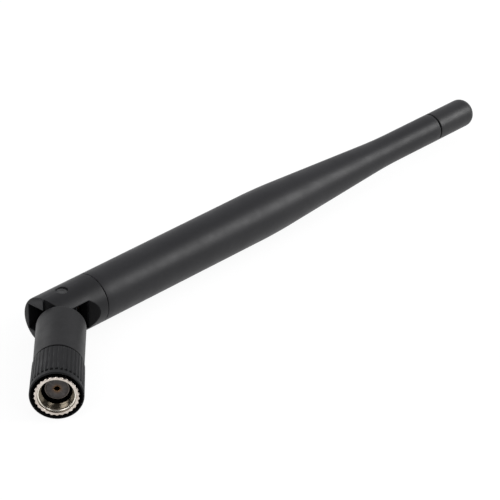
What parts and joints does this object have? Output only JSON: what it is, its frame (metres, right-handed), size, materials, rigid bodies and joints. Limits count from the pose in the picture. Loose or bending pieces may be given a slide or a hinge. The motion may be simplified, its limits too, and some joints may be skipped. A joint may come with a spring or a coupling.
{
  "type": "omnidirectional antenna",
  "caption": "Slim rod antenna that tilts and swivels on a hinged foot, with a screw-on coaxial plug for a radio's antenna port.",
  "frame": {"origin": "centre of the plug's reference plane, where its outer conductor, insulator and centre contact end", "axes": "-Y out of the plug towards the mating connector, +Z along the hinge axis, +X towards the side the blade folds to"},
  "size_m": [0.0924, 0.1142, 0.01],
  "materials": {
    "black_plastic": "fine matte moulded texture",
    "grip_plastic": "satin moulded",
    "pin_plastic": "satin moulded",
    "nickel_plate": "warm nickel plate, turned",
    "body_plate": "warm nickel plate, turned",
    "gold_plate": "thin gold plate",
    "ptfe": "smooth, dark",
    "natural_plastic": "satin moulded",
    "white_foam": "smooth",
    "gasket_rubber": "matte",
    "spring_steel": "bright",
    "tinned_braid": "woven",
    "cable_jacket": "smooth",
    "cable_dielectric": "smooth",
    "copper": "bright copper",
    "plain_brass": "drawn",
    "shrink_tube": "slightly wrinkled"
  },
  "bodies": {
    "plug": {"connector_body": "body_plate", "contact_insulator": "ptfe", "centre_contact": "gold_plate", "sealing_gasket": "gasket_rubber", "nut_snap_ring": "spring_steel", "swivel_washer": "spring_steel", "swivel_circlip": "spring_steel", "crimp_ferrule": "body_plate", "coax_conductor_lower": "copper", "coax_dielectric_lower": "cable_dielectric", "coax_braid_lower": "tinned_braid", "coax_jacket_lower": "cable_jacket"},
    "nut": {"coupling_nut": "nickel_plate", "grip_sleeve": "grip_plastic"},
    "knuckle": {"knuckle_body": "black_plastic", "hinge_pin_upper": "pin_plastic", "hinge_pin_lower": "pin_plastic", "swivel_bushing": "natural_plastic", "coax_hinge_flex": "cable_jacket"},
    "blade": {"hinge_yoke": "black_plastic", "radome_tube": "black_plastic", "tip_cap": "black_plastic", "coax_jacket_upper": "cable_jacket", "coax_braid_upper": "tinned_braid", "coax_dielectric_upper": "cable_dielectric", "coax_conductor_upper": "copper", "lower_spacer": "white_foam", "balun_sleeve": "plain_brass", "balun_spacer": "natural_plastic", "radiator_wire": "copper", "feed_heat_shrink": "shrink_tube", "coil_former": "natural_plastic", "mid_spacer": "white_foam", "top_spacer": "white_foam"}
  },
  "joints": [
    {"name": "nut_spin", "type": "hinge", "parent": "plug", "child": "nut", "pos_m": [0, 0, 0], "axis": [0, -1, 0], "continuous": true},
    {"name": "swivel", "type": "hinge", "parent": "plug", "child": "knuckle", "pos_m": [0, 0.01, 0], "axis": [0, -1, 0], "range_deg": [-180, 180]},
    {"name": "tilt", "type": "hinge", "parent": "knuckle", "child": "blade", "pos_m": [0, 0.0263, 0], "axis": [0, 0, 1], "range_deg": [-45, 45], "deforming": ["coax_hinge_flex"]}
  ]
}
